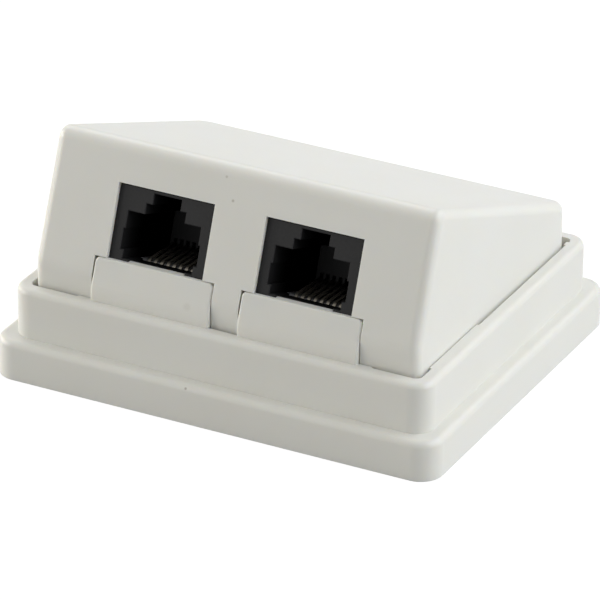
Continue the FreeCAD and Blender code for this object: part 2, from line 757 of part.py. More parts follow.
def make_board():
    body = new_body("circuit_board")
    outline = new_sketch(body, "board_outline", "XY_Plane", "-board_thickness")
    add_rectangle(outline, "-board_width / 2", "board_width / 2", "board_setback", BOARD_BACK)
    extrude(body, "Pad", "board", outline, "board_thickness")
    x, thick = measure("board_width / 2"), measure("board_thickness")

    def corner(edge):
        box = edge.BoundBox
        return near(box.ZLength, thick) and near(abs(box.XMin), x)

    round_edges(body, "board_corners", corner, "board_corner")
    holes = new_sketch(body, "board_holes", "XY_Plane")
    for _, port in PORTS:
        for side in ("-", "+"):
            place = f"({port} {side} peg_spacing / 2)"
            add_circle(holes, place, "jack_recess + peg_place", "peg_diameter / 2 + peg_gap")
    cut(body, "peg_holes", holes, "board_thickness")
    slots = new_sketch(body, "slot_sketch", "XY_Plane")
    pin = ("(contact_width / 2 + pin_hole_gap)", "(contact_thickness / 2 + pin_hole_gap)")
    tail = ("(blade_thickness / 2 + pin_hole_gap)", "(tail_width / 2 + pin_hole_gap)")
    for _, port in PORTS:
        for row, first in (("pin_row", "-1.75"), ("pin_row - pin_row_spacing", "-1.25")):
            for step in range(CONTACTS_PER_ROW):
                add_hole(slots, f"({port} + ({first} + {step}) * 2 * contact_pitch)", row, pin)
        for side in ("-", "+"):
            for step in range(SLOTS_PER_BLOCK):
                place = f"({FIRST_SLOT} + {step} * slot_pitch)"
                add_hole(slots, f"({port} {side} block_offset)", place, tail)
    cut(body, "pin_and_tail_holes", slots, "board_thickness")
    tilt(body)
    return body


# ---------------------------------------------------------------- jacks

def make_jack_housing(name, port):
    body = new_body(f"{name}_jack_housing")
    front = new_sketch(body, "jack_front", "XZ_Plane", "-jack_recess")
    add_rectangle(front, "-jack_width / 2", "jack_width / 2", "0", "jack_height")
    extrude(body, "Pad", "jack_block", front, "jack_length", backwards=True)
    opening = new_sketch(body, "plug_outline", "XZ_Plane", "-jack_recess")
    half = (
        ("trough_width / 2", "jack_floor"),
        ("trough_width / 2", "jack_floor + ledge_height"),
        ("foot_width / 2", "jack_floor + ledge_height"),
        ("foot_width / 2", "groove_bottom"),
        ("plug_width / 2 + groove_depth", "groove_bottom"),
        ("plug_width / 2 + groove_depth", "groove_top"),
        ("plug_width / 2", "groove_top"),
        ("plug_width / 2", "plug_top"),
        ("step_width / 2", "plug_top"),
        ("step_width / 2", "step_top"),
        ("latch_width / 2", "step_top"),
        ("latch_width / 2", "latch_top"),
    )
    other_half = tuple((f"-({across})", along) for across, along in reversed(half))
    add_polygon(opening, half + other_half)
    cut(body, "plug_opening", opening, "plug_depth")
    face = measure("jack_recess")

    def opening_edge(edge):
        box = edge.BoundBox
        return near(box.YMin, face) and near(box.YMax, face) and box.ZMin > measure("ledge_height")

    round_edges(body, "broken_edges", opening_edge, "edge_break", "Chamfer")
    block(
        body,
        "lip_notch",
        "Subtractive",
        ("-trough_width / 2", "jack_recess - overshoot", "-overshoot"),
        ("trough_width / 2", "jack_recess + lip_setback", "jack_floor + ledge_height"),
    )
    room = "(nose_width / 2 + wire_clearance)"
    bends = "(contact_place - bend_radius - contact_thickness / 2 - 2 * wire_clearance)"
    block(
        body,
        "wire_room",
        "Subtractive",
        (f"-{room}", bends, "-overshoot"),
        (room, f"{CAVITY_BACK} + jack_gap", "jack_floor + ledge_height + jack_gap"),
    )
    room = "(carrier_width / 2 + wire_clearance)"
    block(
        body,
        "carrier_room",
        "Subtractive",
        (f"-{room}", f"{CAVITY_BACK} - jack_gap", "-overshoot"),
        (room, f"{JACK_BACK} + overshoot", "carrier_top + wire_clearance"),
    )
    pegs = new_sketch(body, "peg_outline", "XY_Plane")
    for side in ("-", ""):
        add_circle(pegs, f"{side}peg_spacing / 2", "jack_recess + peg_place", "peg_diameter / 2")
    extrude(body, "Pad", "pegs", pegs, "peg_length", backwards=True)
    tilt(body, port)
    return body


def make_carrier(name, port):
    body = new_body(f"{name}_contact_carrier")
    low = f"({NOSE_HEIGHT} - {NOSE_RADIUS})"
    high = f"({NOSE_HEIGHT} + {NOSE_RADIUS})"
    nose = f"(contact_place - {NOSE_RADIUS})"
    side = new_sketch(body, "nose_side", "YZ_Plane", "-nose_width / 2")
    add_rectangle(side, nose, CAVITY_BACK, low, high)
    extrude(body, "Pad", "nose_block", side, "nose_width")
    side = new_sketch(body, "comb_side", "YZ_Plane", "-carrier_width / 2")
    add_rectangle(side, CAVITY_BACK, f"{CAVITY_BACK} + comb_thickness", "0", "carrier_top")
    extrude(body, "Pad", "comb_wall", side, "carrier_width")
    front = measure(nose)

    def nose_edge(edge):
        box = edge.BoundBox
        return near(box.YMin, front) and near(box.YMax, front) and box.XLength > box.ZLength

    round_edges(body, "nose", nose_edge, f"{NOSE_RADIUS} * nose_share")
    first = "(-3.5 * contact_pitch)"
    slot = block(
        body,
        "comb_slot",
        "Subtractive",
        (f"{first} - comb_slot_width / 2", f"{CAVITY_BACK} - overshoot", high),
        (f"{first} + comb_slot_width / 2", f"{CAVITY_BACK} + comb_slot_depth", "comb_slot_top"),
    )
    repeat(body, "comb_slots", [slot], "X_Axis", 2 * CONTACTS_PER_ROW, "contact_pitch")
    tilt(body, port)
    return body


def wire_path(body, name, row, across):
    """Middle line of one contact wire: free leg, bend round the nose, leg under the carrier, pin."""
    path = new_sketch(body, name, "YZ_Plane", across)
    top = f"({NOSE_HEIGHT} + bend_radius)"
    bottom = f"({NOSE_HEIGHT} - bend_radius)"
    corner = "(contact_place - bend_radius)"
    stations = (
        (f"{corner} + contact_reach", f"{top} + contact_reach * tan(contact_rise * 1 deg)"),
        (corner, top),
        (corner, bottom),
        (row, bottom),
        (row, "-pin_length"),
    )
    places = [FreeCAD.Vector(measure(a), measure(b), 0) for a, b in stations]
    for start, end in zip(places, places[1:]):
        path.addGeometry(Part.LineSegment(start, end))
    for i in range(len(stations) - 2):
        path.addConstraint(Sketcher.Constraint("Coincident", i, 2, i + 1, 1))
    for i, (a, b) in enumerate(stations[:-1]):
        pin_point(path, i, 1, a, b)
    pin_point(path, len(stations) - 2, 2, *stations[-1])
    radius = "nose_share * bend_radius"
    arc = path.GeometryCount
    path.fillet(0, 1, places[0], places[2], measure(radius), True, True)
    limit = path.addConstraint(Sketcher.Constraint("Radius", arc, measure(radius)))
    path.setExpression(f"Constraints[{limit}]", formula(radius))
    return path


def make_contacts(name, port):
    """Eight bent wires in two staggered rows of board pins."""
    body = new_body(f"{name}_contacts")
    rows = (("rear", "pin_row", "-3.5"), ("front", "(pin_row - pin_row_spacing)", "-2.5"))
    for label, row, first in rows:
        across = f"({first} * contact_pitch)"
        path = wire_path(body, f"{label}_path", row, across)
        section = new_sketch(body, f"{label}_section", "XY_Plane", "-pin_length")
        add_rectangle(
            section,
            f"{across} - contact_width / 2",
            f"{across} + contact_width / 2",
            f"{row} - contact_thickness / 2",
            f"{row} + contact_thickness / 2",
        )
        wire = body.newObject("PartDesign::AdditivePipe", f"{label}_wire")
        wire.Profile = section
        wire.Spine = path
        wire.Transition = "Right corner"
        doc.recompute()
        repeat(body, f"{label}_wires", [wire], "X_Axis", CONTACTS_PER_ROW, "2 * contact_pitch")
    tilt(body, port)
    return body


# ---------------------------------------------------------------- insulation displacement blocks

def make_idc_block(name, x):
    body = new_body(f"{name}_idc_block")
    outline = new_sketch(body, "block_outline", "XY_Plane")
    add_rectangle(
        outline, "-block_width / 2", "block_width / 2", "block_place", f"block_place + {BLOCK_LENGTH}"
    )
    extrude(body, "Pad", "block", outline, "block_height")
    side = new_sketch(body, "slot_side", "YZ_Plane", "-block_width / 2")
    top, lead = "block_height", "(block_height - slot_lead)"
    add_polygon(
        side,
        (
            (f"{FIRST_SLOT} - slot_mouth / 2", top),
            (f"{FIRST_SLOT} - slot_width / 2", lead),
            (f"{FIRST_SLOT} - slot_width / 2", "block_height - slot_depth"),
            (f"{FIRST_SLOT} + slot_width / 2", "block_height - slot_depth"),
            (f"{FIRST_SLOT} + slot_width / 2", lead),
            (f"{FIRST_SLOT} + slot_mouth / 2", top),
        ),
    )
    slot = cut(body, "wire_slot", side, "block_width", backwards=True)
    repeat(body, "wire_slots", [slot], "Y_Axis", SLOTS_PER_BLOCK, "slot_pitch")
    across = "(blade_thickness / 2 + blade_gap)"
    along = "(blade_width / 2 + blade_gap)"
    pocket = block(
        body,
        "blade_pocket",
        "Subtractive",
        (f"-{across}", f"{FIRST_SLOT} - {along}", "-overshoot"),
        (across, f"{FIRST_SLOT} + {along}", "block_height + overshoot"),
    )
    repeat(body, "blade_pockets", [pocket], "Y_Axis", SLOTS_PER_BLOCK, "slot_pitch")
    tilt(body, x)
    return body


def make_idc_blades(name, x):
    """Four forked blades, each with a tail through the board."""
    body = new_body(f"{name}_idc_blades")
    side = new_sketch(body, "blade_side", "YZ_Plane", "-blade_thickness / 2")
    half = (
        ("tail_width / 2", "-pin_length"),
        ("tail_width / 2", "blade_foot / 4"),
        ("blade_width / 2", "blade_foot / 4"),
        ("blade_width / 2", "blade_height"),
        ("blade_mouth / 2", "blade_height"),
        ("blade_slit / 2", "blade_height - blade_lead"),
        ("blade_slit / 2", "blade_height - blade_slit_depth"),
    )
    right = tuple((f"{FIRST_SLOT} + {across}", along) for across, along in half)
    left = tuple((f"{FIRST_SLOT} - {across}", along) for across, along in reversed(half))
    add_polygon(side, right + left)
    blade = extrude(body, "Pad", "blade", side, "blade_thickness")
    repeat(body, "blades", [blade], "Y_Axis", SLOTS_PER_BLOCK, "slot_pitch")
    tilt(body, x)
    return body


def make_idc_cap(name, x):
    """A cap pushed over a block, notched for the wires, with ribs that press them into the slots."""
    body = new_body(f"{name}_idc_cap")
    inner_x = "(block_width / 2 + cap_gap)"
    front, back = "(block_place - cap_gap)", f"(block_place + {BLOCK_LENGTH} + cap_gap)"
    roof = "(block_height + cap_gap)"
    skirt = "(block_height - cap_skirt)"
    outline = new_sketch(body, "cap_outline", "XY_Plane", skirt)
    outer = f"({inner_x} + cap_wall)"
    add_rectangle(outline, f"-{outer}", outer, f"{front} - cap_wall", f"{back} + cap_wall")
    extrude(body, "Pad", "cap", outline, f"{roof} + cap_top - {skirt}")
    top = measure(f"{roof} + cap_top")
    round_edges(body, "cap_edges", lambda edge: near(edge.BoundBox.ZMin, top), "cap_break", "Chamfer")
    hollow = new_sketch(body, "cap_hollow_outline", "XY_Plane", skirt)
    add_rectangle(hollow, f"-{inner_x}", inner_x, front, back)
    cut(body, "cap_hollow", hollow, f"{roof} - {skirt}", backwards=True)
    notch = block(
        body,
        "notch",
        "Subtractive",
        (f"-{outer} - overshoot", f"{FIRST_SLOT} - cap_notch / 2", f"{skirt} - overshoot"),
        (f"{outer} + overshoot", f"{FIRST_SLOT} + cap_notch / 2", f"{skirt} + cap_notch_height"),
    )
    repeat(body, "notches", [notch], "Y_Axis", SLOTS_PER_BLOCK, "slot_pitch")
    near_blade, near_side = "(blade_thickness / 2 + 2 * cap_gap)", "(block_width / 2 - cap_gap)"
    for hand, low, high in (("left", f"-{near_side}", f"-{near_blade}"), ("right", near_blade, near_side)):
        presser = block(
            body,
            f"{hand}_presser",
            "Additive",
            (low, f"{FIRST_SLOT} - presser_width / 2", f"{roof} - presser_length"),
            (high, f"{FIRST_SLOT} + presser_width / 2", f"{roof} + cap_top / 2"),
        )
        repeat(body, f"{hand}_pressers", [presser], "Y_Axis", SLOTS_PER_BLOCK, "slot_pitch")
    tilt(body, x)
    return body


# ---------------------------------------------------------------- assembly and files

bodies = [make_base(), make_cover(), make_board()]
for name, port in PORTS:
    bodies.append(make_jack_housing(name, port))
    bodies.append(make_carrier(name, port))
    bodies.append(make_contacts(name, port))
    for side, sign in (("left", "-"), ("right", "+")):
        x = f"({port} {sign} block_offset)"
        label = f"{name}_port_{side}"
        bodies.append(make_idc_block(label, x))
        bodies.append(make_idc_blades(label, x))
        bodies.append(make_idc_cap(label, x))
doc.recompute()

for item in doc.Objects:
    faults = [state for state in item.State if state in ("Invalid", "Error")]
    assert not faults, f"{item.Name} is {faults}"
for body in bodies:
    assert not body.Shape.isNull() and body.Shape.isValid(), f"{body.Label} has no valid shape"

os.makedirs("parts", exist_ok=True)
for body in bodies:
    body.Shape.exportStep(f"parts/{body.Label}.step")
    print(body.Label, len(body.Shape.Solids), round(body.Shape.Volume, 2))
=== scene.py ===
# %% [markdown]
# # A surface mount jack box
# This notebook dresses a small plastic outlet box. A shallow base screws to the wall, a sloping
# cover stands in its rim, and two black sockets look out through the cover's leaning front. The
# solids come ready made from the part's construction, so Blender's work is the finish: what each
# piece is made of, how its surface was made, and how light falls on it. The solids are never moved
# or reshaped here.

# %% Load the solids
import math

import bpy
from mathutils import Matrix, Vector

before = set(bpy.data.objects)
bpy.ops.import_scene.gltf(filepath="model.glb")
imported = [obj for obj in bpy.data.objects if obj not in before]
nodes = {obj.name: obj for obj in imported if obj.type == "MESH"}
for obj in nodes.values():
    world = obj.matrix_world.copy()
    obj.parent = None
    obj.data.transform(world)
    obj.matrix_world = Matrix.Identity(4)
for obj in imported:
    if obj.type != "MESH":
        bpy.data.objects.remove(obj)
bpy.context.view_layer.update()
bpy.ops.object.select_all(action="DESELECT")
MM = 0.001

# %% [markdown]
# ## The camera first
# A long lens far away keeps the box's edges almost parallel. The camera is placed by its angle
# round the box, its height angle and a small roll, all measured at one point inside the base, so
# each of them can be changed alone.

# %% Camera
CAMERA_AZIMUTH = math.radians(27.0)
CAMERA_ELEVATION = math.radians(26.7)
CAMERA_ROLL = math.radians(0.65)
CAMERA_DISTANCE = 0.820
CAMERA_TARGET = Vector((-0.49 * MM, 0.0, 7.5 * MM))
SENSOR_WIDTH = 36.0
FOCAL_LENGTH = 332.6
NEAREST_SEEN = 0.05
FURTHEST_SEEN = 20.0

flat = math.cos(CAMERA_ELEVATION)
across, along = math.sin(CAMERA_AZIMUTH), math.cos(CAMERA_AZIMUTH)
back = Vector((across * flat, -along * flat, math.sin(CAMERA_ELEVATION)))
level = Vector((along, across, 0.0))
above = back.cross(level)
right = level * math.cos(CAMERA_ROLL) + above * math.sin(CAMERA_ROLL)
up = above * math.cos(CAMERA_ROLL) - level * math.sin(CAMERA_ROLL)
lens = bpy.data.cameras.new("camera")
lens.sensor_width = SENSOR_WIDTH
lens.lens = FOCAL_LENGTH
lens.clip_start = NEAREST_SEEN
lens.clip_end = FURTHEST_SEEN
camera = bpy.data.objects.new("camera", lens)
bpy.context.scene.collection.objects.link(camera)
camera.matrix_world = Matrix.Translation(CAMERA_TARGET + back * CAMERA_DISTANCE) @ Matrix(
    (right, up, back)
).transposed().to_4x4()
bpy.context.scene.camera = camera
bpy.context.scene.view_settings.view_transform = "Standard"
print("camera at", [round(v, 3) for v in camera.matrix_world.translation])

# %% [markdown]
# ## Helpers for materials
# Colours are written as the hex values that a paint chart gives, and one function turns them into
# the linear light that Cycles adds up. A second function adds any shader node, sets it up and joins
# its inputs, so that a material reads as a short list of what it is made of. Two short ones start a
# material and finish it.

# %% Colour and node helpers
def linear(hex_colour):
    """An sRGB hex colour as linear red, green, blue and a full alpha."""
    channels = [int(hex_colour[i : i + 2], 16) / 255 for i in (1, 3, 5)]
    return [c / 12.92 if c <= 0.04045 else ((c + 0.055) / 1.055) ** 2.4 for c in channels] + [1.0]


def add(material, kind, inputs=(), **settings):
    """A new node in the material. inputs pairs a socket with a value, or with an output to join."""
    node = material.node_tree.nodes.new(kind)
    for name, value in settings.items():
        setattr(node, name, value)
    for socket, value in dict(inputs).items():
        if isinstance(value, bpy.types.NodeSocket):
            material.node_tree.links.new(value, node.inputs[socket])
        else:
            node.inputs[socket].default_value = value
    return node


def new_material(name):
    """A material with no nodes but one, which gives the place of each point in metres."""
    material = bpy.data.materials.new(name)
    material.use_nodes = True
    material.node_tree.nodes.clear()
    place = add(material, "ShaderNodeTexCoord").outputs["Object"]
    return material, place


def finish_material(material, shader):
    """Joins the last shader to the material's output."""
    add(material, "ShaderNodeOutputMaterial", {"Surface": shader.outputs[0]})


print("white in linear light:", [round(v, 2) for v in linear("#FFFFFF")])

# %% [markdown]
# ## Off-white ABS
# Base and cover are injection moulded in ABS, the common plastic of wall outlets. The tool was
# lightly blasted, which leaves a satin skin: highlights are wide and soft. The colour is a warm
# white, a little uneven over centimetres where the melt flowed, with three small specks of burnt
# plastic and one faint scuff. They could be scattered by a noise, but each has its own place, so
# each is a small ball of darker colour set there. Light soaks about a millimetre into the plastic,
# red the furthest, so some subsurface scattering keeps the edges from looking like painted metal.

# %% Moulded ABS
ABS_WHITE = "#E5E5E0"
ABS_WARM = "#E1E0D8"
ABS_SPECK = "#8A7F6C"
ABS_IOR = 1.54
ABS_ROUGHNESS = (0.34, 0.46)
ABS_SOAK = (1.6 * MM, 1.2 * MM, 0.7 * MM)
FLOW_SIZE = 18 * MM
# The blasted grain is finer than this. It is drawn coarser, so that it still shows.
GRAIN_SIZE = 0.35 * MM
GRAIN_DEPTH = 0.02 * MM
MARK_CORE = 0.4  # the share of a mark's radius that has its full strength
# Place and radius in mm and strength of each mark: three specks, then the scuff on the left tab.
MARKS = (
    (-2.8, -19.0, 35.1, 0.28, 0.30),
    (-1.2, -20.1, 32.1, 0.28, 0.45),
    (-3.6, -29.9, 5.7, 0.26, 0.60),
    (-5.6, -25.9, 16.6, 0.75, 0.10),
)

abs_white, place = new_material("satin_moulded_abs")
flow = add(
    abs_white,
    "ShaderNodeTexNoise",
    {"Vector": place, "Scale": 1 / FLOW_SIZE, "Detail": 2.0},
)
tint = add(
    abs_white,
    "ShaderNodeMix",
    {"Factor": flow.outputs["Fac"], "A": linear(ABS_WHITE), "B": linear(ABS_WARM)},
    data_type="RGBA",
)
marked = tint.outputs[2]
for x, y, z, radius, strength in MARKS:
    reach = add(
        abs_white,
        "ShaderNodeVectorMath",
        {0: place, 1: (x * MM, y * MM, z * MM)},
        operation="DISTANCE",
    )
    shade = add(
        abs_white,
        "ShaderNodeMapRange",
        {
            "Value": reach.outputs["Value"],
            "From Min": radius * MM * MARK_CORE,
            "From Max": radius * MM,
            "To Min": strength,
            "To Max": 0.0,
        },
    )
    marked = add(
        abs_white,
        "ShaderNodeMix",
        {"Factor": shade.outputs["Result"], "A": marked, "B": linear(ABS_SPECK)},
        data_type="RGBA",
    ).outputs[2]
grain = add(
    abs_white,
    "ShaderNodeTexNoise",
    {"Vector": place, "Scale": 1 / GRAIN_SIZE, "Detail": 3.0},
)
satin = add(
    abs_white,
    "ShaderNodeMapRange",
    {"Value": grain.outputs["Fac"], "To Min": ABS_ROUGHNESS[0], "To Max": ABS_ROUGHNESS[1]},
)
skin = add(
    abs_white,
    "ShaderNodeBump",
    {"Height": grain.outputs["Fac"], "Strength": 0.10, "Distance": GRAIN_DEPTH},
)
moulded = add(
    abs_white,
    "ShaderNodeBsdfPrincipled",
    {
        "Base Color": marked,
        "Roughness": satin.outputs["Result"],
        "Normal": skin.outputs["Normal"],
        "IOR": ABS_IOR,
        "Subsurface Weight": 0.22,
        "Subsurface Radius": ABS_SOAK,
        "Subsurface Scale": 1.0,
    },
)
finish_material(abs_white, moulded)
print("marks on the mouldings:", len(MARKS))

# %% [markdown]
# ## Black PBT
# The socket bodies are moulded in glass filled PBT. The glass fibres come up to the skin that faces
# out, so there the black is a charcoal with a fine mottle and a dull shine. Further inside the
# opening the colour is painted down to a deep black without shine. This is painted shade, for the
# light that hardly gets back out of the socket. How deep a point lies is measured square to the
# sockets' leaning faces, so both sockets share one material.

# %% Glass filled PBT
PBT_BLACK = "#141415"
PBT_GREY = "#242425"
# Painted shade: the deep black that fills the sockets further in, not a colour of the plastic.
PBT_PAINTED_SHADE = "#040404"
PBT_IOR = 1.57
PBT_ROUGHNESS = (0.42, 0.60)
# Real fibres are far thinner. The mottle is drawn coarser, so that it still shows.
FIBRE_SIZE = 0.4 * MM
FIBRE_DEPTH = 0.02 * MM
LEAN = math.radians(20.2)
INTO_SOCKET = (0.0, math.cos(LEAN), -math.sin(LEAN))
SOCKET_FACE = -29.3 * MM
# Depths behind the sockets' faces where the shiny skin ends and where the painted shade is full.
SHINY_TO = 0.4 * MM
PAINTED_SHADE_FROM = 5.5 * MM


def depth_share(material, place, start, end):
    """Nothing at one depth behind the sockets' faces, rising to one at another."""
    inward = add(
        material,
        "ShaderNodeVectorMath",
        {0: place, 1: INTO_SOCKET},
        operation="DOT_PRODUCT",
    )
    return add(
        material,
        "ShaderNodeMapRange",
        {
            "Value": inward.outputs["Value"],
            "From Min": SOCKET_FACE + start,
            "From Max": SOCKET_FACE + end,
        },
    ).outputs["Result"]


pbt_black, place = new_material("glass_filled_pbt")
fibres = add(
    pbt_black,
    "ShaderNodeTexNoise",
    {"Vector": place, "Scale": 1 / FIBRE_SIZE, "Detail": 4.0},
)
mottle = add(
    pbt_black,
    "ShaderNodeMix",
    {"Factor": fibres.outputs["Fac"], "A": linear(PBT_BLACK), "B": linear(PBT_GREY)},
    data_type="RGBA",
)
dull = add(
    pbt_black,
    "ShaderNodeMapRange",
    {
        "Value": fibres.outputs["Fac"],
        "To Min": PBT_ROUGHNESS[0],
        "To Max": PBT_ROUGHNESS[1],
    },
)
pbt_skin = add(
    pbt_black,
    "ShaderNodeBump",
    {"Height": fibres.outputs["Fac"], "Strength": 0.15, "Distance": FIBRE_DEPTH},
)
pbt_outside = add(
    pbt_black,
    "ShaderNodeBsdfPrincipled",
    {
        "Base Color": mottle.outputs[2],
        "Roughness": dull.outputs["Result"],
        "Normal": pbt_skin.outputs["Normal"],
        "IOR": PBT_IOR,
        "Specular IOR Level": 0.22,
    },
)
# Painted shade: a dull black with no shine, mixed in with depth inside the sockets.
pbt_painted_shade_bsdf = add(
    pbt_black,
    "ShaderNodeBsdfDiffuse",
    {"Color": linear(PBT_PAINTED_SHADE), "Roughness": 0.8},
)
finish_material(
    pbt_black,
    add(
        pbt_black,
        "ShaderNodeMixShader",
        {
            0: depth_share(pbt_black, place, SHINY_TO, PAINTED_SHADE_FROM),
            1: pbt_outside.outputs["BSDF"],
            2: pbt_painted_shade_bsdf.outputs["BSDF"],
        },
    ),
)
# The depth printed is where the painted shade takes over.
print("sockets:", pbt_black.name, "deep black from", PAINTED_SHADE_FROM / MM, "mm inside")

# %% [markdown]
# ## Gold plate
# The contact wires are phosphor bronze with a thin, pale flash of gold where the plug touches them.
# Metal has no colour of its own under the shine, so the hex value tints the reflection. Drawing the
# wire left it a little uneven. It is slightly less than fully metallic, because a thin dull film on
# it catches soft light as well. Further back, where the plug never rubs, the wire is bare and
# tarnished.

# %% Gold plated wire
GOLD = "#A39C88"
GOLD_PALE = "#9C9891"
TARNISH = "#3A3733"
DRAWN_SIZE = 0.25 * MM
GOLD_TO = 7.0 * MM
TARNISH_FROM = 11.0 * MM

gold, place = new_material("gold_plated_bronze")
drawn = add(gold, "ShaderNodeTexNoise", {"Vector": place, "Scale": 1 / DRAWN_SIZE, "Detail": 2.0})
plating = add(
    gold,
    "ShaderNodeMix",
    {"Factor": drawn.outputs["Fac"], "A": linear(GOLD), "B": linear(GOLD_PALE)},
    data_type="RGBA",
)
shaded = add(
    gold,
    "ShaderNodeMix",
    {
        "Factor": depth_share(gold, place, GOLD_TO, TARNISH_FROM),
        "A": plating.outputs[2],
        "B": linear(TARNISH),
    },
    data_type="RGBA",
)
finish_material(
    gold,
    add(
        gold,
        "ShaderNodeBsdfPrincipled",
        {"Base Color": shaded.outputs[2], "Metallic": 0.85, "Roughness": 0.46},
    ),
)
print("contact wires:", gold.name)

# %% [markdown]
# ## Punch-down blocks
# The blocks are moulded in liquid crystal polymer, which stands the heat of soldering. It is dark
# and matte, with a faint swirl from the way it flows.

# %% Black liquid crystal polymer
BLOCK_DARK = "#1E1E20"
BLOCK_GREY = "#2A2A2C"
POLYMER_IOR = 1.6
SWIRL_SIZE = 0.8 * MM

polymer, place = new_material("liquid_crystal_polymer")
swirl = add(polymer, "ShaderNodeTexNoise", {"Vector": place, "Scale": 1 / SWIRL_SIZE, "Detail": 3.0})
finish_material(
    polymer,
    add(
        polymer,
        "ShaderNodeBsdfPrincipled",
        {
            "Base Color": add(
                polymer,
                "ShaderNodeMix",
                {"Factor": swirl.outputs["Fac"], "A": linear(BLOCK_DARK), "B": linear(BLOCK_GREY)},
                data_type="RGBA",
            ).outputs[2],
            "Roughness": 0.5,
            "IOR": POLYMER_IOR,
        },
    ),
)
print("blocks:", polymer.name)

# %% [markdown]
# ## Contact carriers
# The carrier that spaces the wires is moulded in the same polymer without the black. Its nose under
# the wires' front bends catches light. The comb behind it lies in the dark of the socket, so its
# colour is painted darker with depth, as painted shade, as the housing's is.

# %% Grey liquid crystal polymer
CARRIER_GREY = "#A4A4A6"
# Painted shade: the dark that the carrier's colour fades to deep in the socket.
CARRIER_PAINTED_SHADE = "#161617"
CARRIER_LIGHT_TO = 6.2 * MM
CARRIER_PAINTED_SHADE_FROM = 9.5 * MM

carrier_grey, place = new_material("grey_liquid_crystal_polymer")
finish_material(
    carrier_grey,
    add(
        carrier_grey,
        "ShaderNodeBsdfPrincipled",
        {
            "Base Color": add(
                carrier_grey,
                "ShaderNodeMix",
                {
                    "Factor": depth_share(carrier_grey, place, CARRIER_LIGHT_TO, CARRIER_PAINTED_SHADE_FROM),
                    "A": linear(CARRIER_GREY),
                    "B": linear(CARRIER_PAINTED_SHADE),
                },
                data_type="RGBA",
            ).outputs[2],
            "Roughness": 0.5,
            "IOR": POLYMER_IOR,
            "Specular IOR Level": 0.3,
        },
    ),
)
print("carriers:", carrier_grey.name)

# %% [markdown]
# ## Caps
# The caps are pushed on by hand over the wires. They are moulded in polypropylene, which is softer
# and waxy, and lets light a little way in, so it looks milky.

# %% Milky polypropylene
CAP_MILK = "#C9CCCD"
CAP_CLOUD = "#BFC3C5"
CAP_IOR = 1.49
CAP_SOAK = 1.5 * MM
CLOUD_SIZE = 2.5 * MM

polypropylene, place = new_material("milky_polypropylene")
cloud = add(
    polypropylene,
    "ShaderNodeTexNoise",
    {"Vector": place, "Scale": 1 / CLOUD_SIZE, "Detail": 2.0},
)
finish_material(
    polypropylene,
    add(
        polypropylene,
        "ShaderNodeBsdfPrincipled",
        {
            "Base Color": add(
                polypropylene,
                "ShaderNodeMix",
                {"Factor": cloud.outputs["Fac"], "A": linear(CAP_MILK), "B": linear(CAP_CLOUD)},
                data_type="RGBA",
            ).outputs[2],
            "Roughness": 0.32,
            "IOR": CAP_IOR,
            "Subsurface Weight": 0.2,
            "Subsurface Radius": (CAP_SOAK, CAP_SOAK, CAP_SOAK),
            "Subsurface Scale": 1.0,
        },
    ),
)
print("caps:", polypropylene.name)

# %% [markdown]
# ## Tinned blades
# The forked blades are stamped from bronze and tin plated, which is greyer and duller than gold. The
# plating dulls in patches, so its roughness varies and its colour does not.

# %% Tin plate
TIN = "#C9C9C4"
TIN_ROUGHNESS = (0.25, 0.42)
BLOOM_SIZE = 0.5 * MM

tin, place = new_material("tin_plated_bronze")
bloom = add(tin, "ShaderNodeTexNoise", {"Vector": place, "Scale": 1 / BLOOM_SIZE, "Detail": 3.0})
finish_material(
    tin,
    add(
        tin,
        "ShaderNodeBsdfPrincipled",
        {
            "Base Color": linear(TIN),
            "Metallic": 1.0,
            "Roughness": add(
                tin,
                "ShaderNodeMapRange",
                {
                    "Value": bloom.outputs["Fac"],
                    "To Min": TIN_ROUGHNESS[0],
                    "To Max": TIN_ROUGHNESS[1],
                },
            ).outputs["Result"],
        },
    ),
)
print("blades:", tin.name)

# %% [markdown]
# ## Green solder mask
# The circuit board is glass and epoxy under a green lacquer. The copper tracks below the lacquer
# show as lighter, slightly raised lines, drawn here by a wave with a little distortion.

# %% Solder mask over copper
MASK_DARK = "#0E4A2A"
MASK_OVER_COPPER = "#1F6B3C"
MASK_IOR = 1.55
TRACK_PITCH = 2.6 * MM
WAVE_BANDS = 3.2  # the bands that a wave texture of scale one draws in each metre
TRACK_EDGE = (0.80, 0.86)
COPPER_THICKNESS = 0.035 * MM

mask, place = new_material("green_solder_mask")
tracks = add(
    mask,
    "ShaderNodeTexWave",
    {
        "Vector": place,
        "Scale": 1 / (TRACK_PITCH * WAVE_BANDS),
        "Distortion": 1.2,
        "Detail": 0.0,
    },
    bands_direction="X",
)
copper = add(
    mask,
    "ShaderNodeMapRange",
    {"Value": tracks.outputs["Fac"], "From Min": TRACK_EDGE[0], "From Max": TRACK_EDGE[1]},
)
lacquer = add(
    mask,
    "ShaderNodeMix",
    {
        "Factor": copper.outputs["Result"],
        "A": linear(MASK_DARK),
        "B": linear(MASK_OVER_COPPER),
    },
    data_type="RGBA",
)
relief = add(
    mask,
    "ShaderNodeBump",
    {"Height": copper.outputs["Result"], "Strength": 0.4, "Distance": COPPER_THICKNESS},
)
finish_material(
    mask,
    add(
        mask,
        "ShaderNodeBsdfPrincipled",
        {
            "Base Color": lacquer.outputs[2],
            "Roughness": 0.3,
            "Normal": relief.outputs["Normal"],
            "IOR": MASK_IOR,
        },
    ),
)
print("board:", mask.name, "tracks every", TRACK_PITCH / MM, "mm")

# %% [markdown]
# ## Each solid gets its finish
# The names of the pieces say what they are, so a short list pairs the end of a name with a finish.

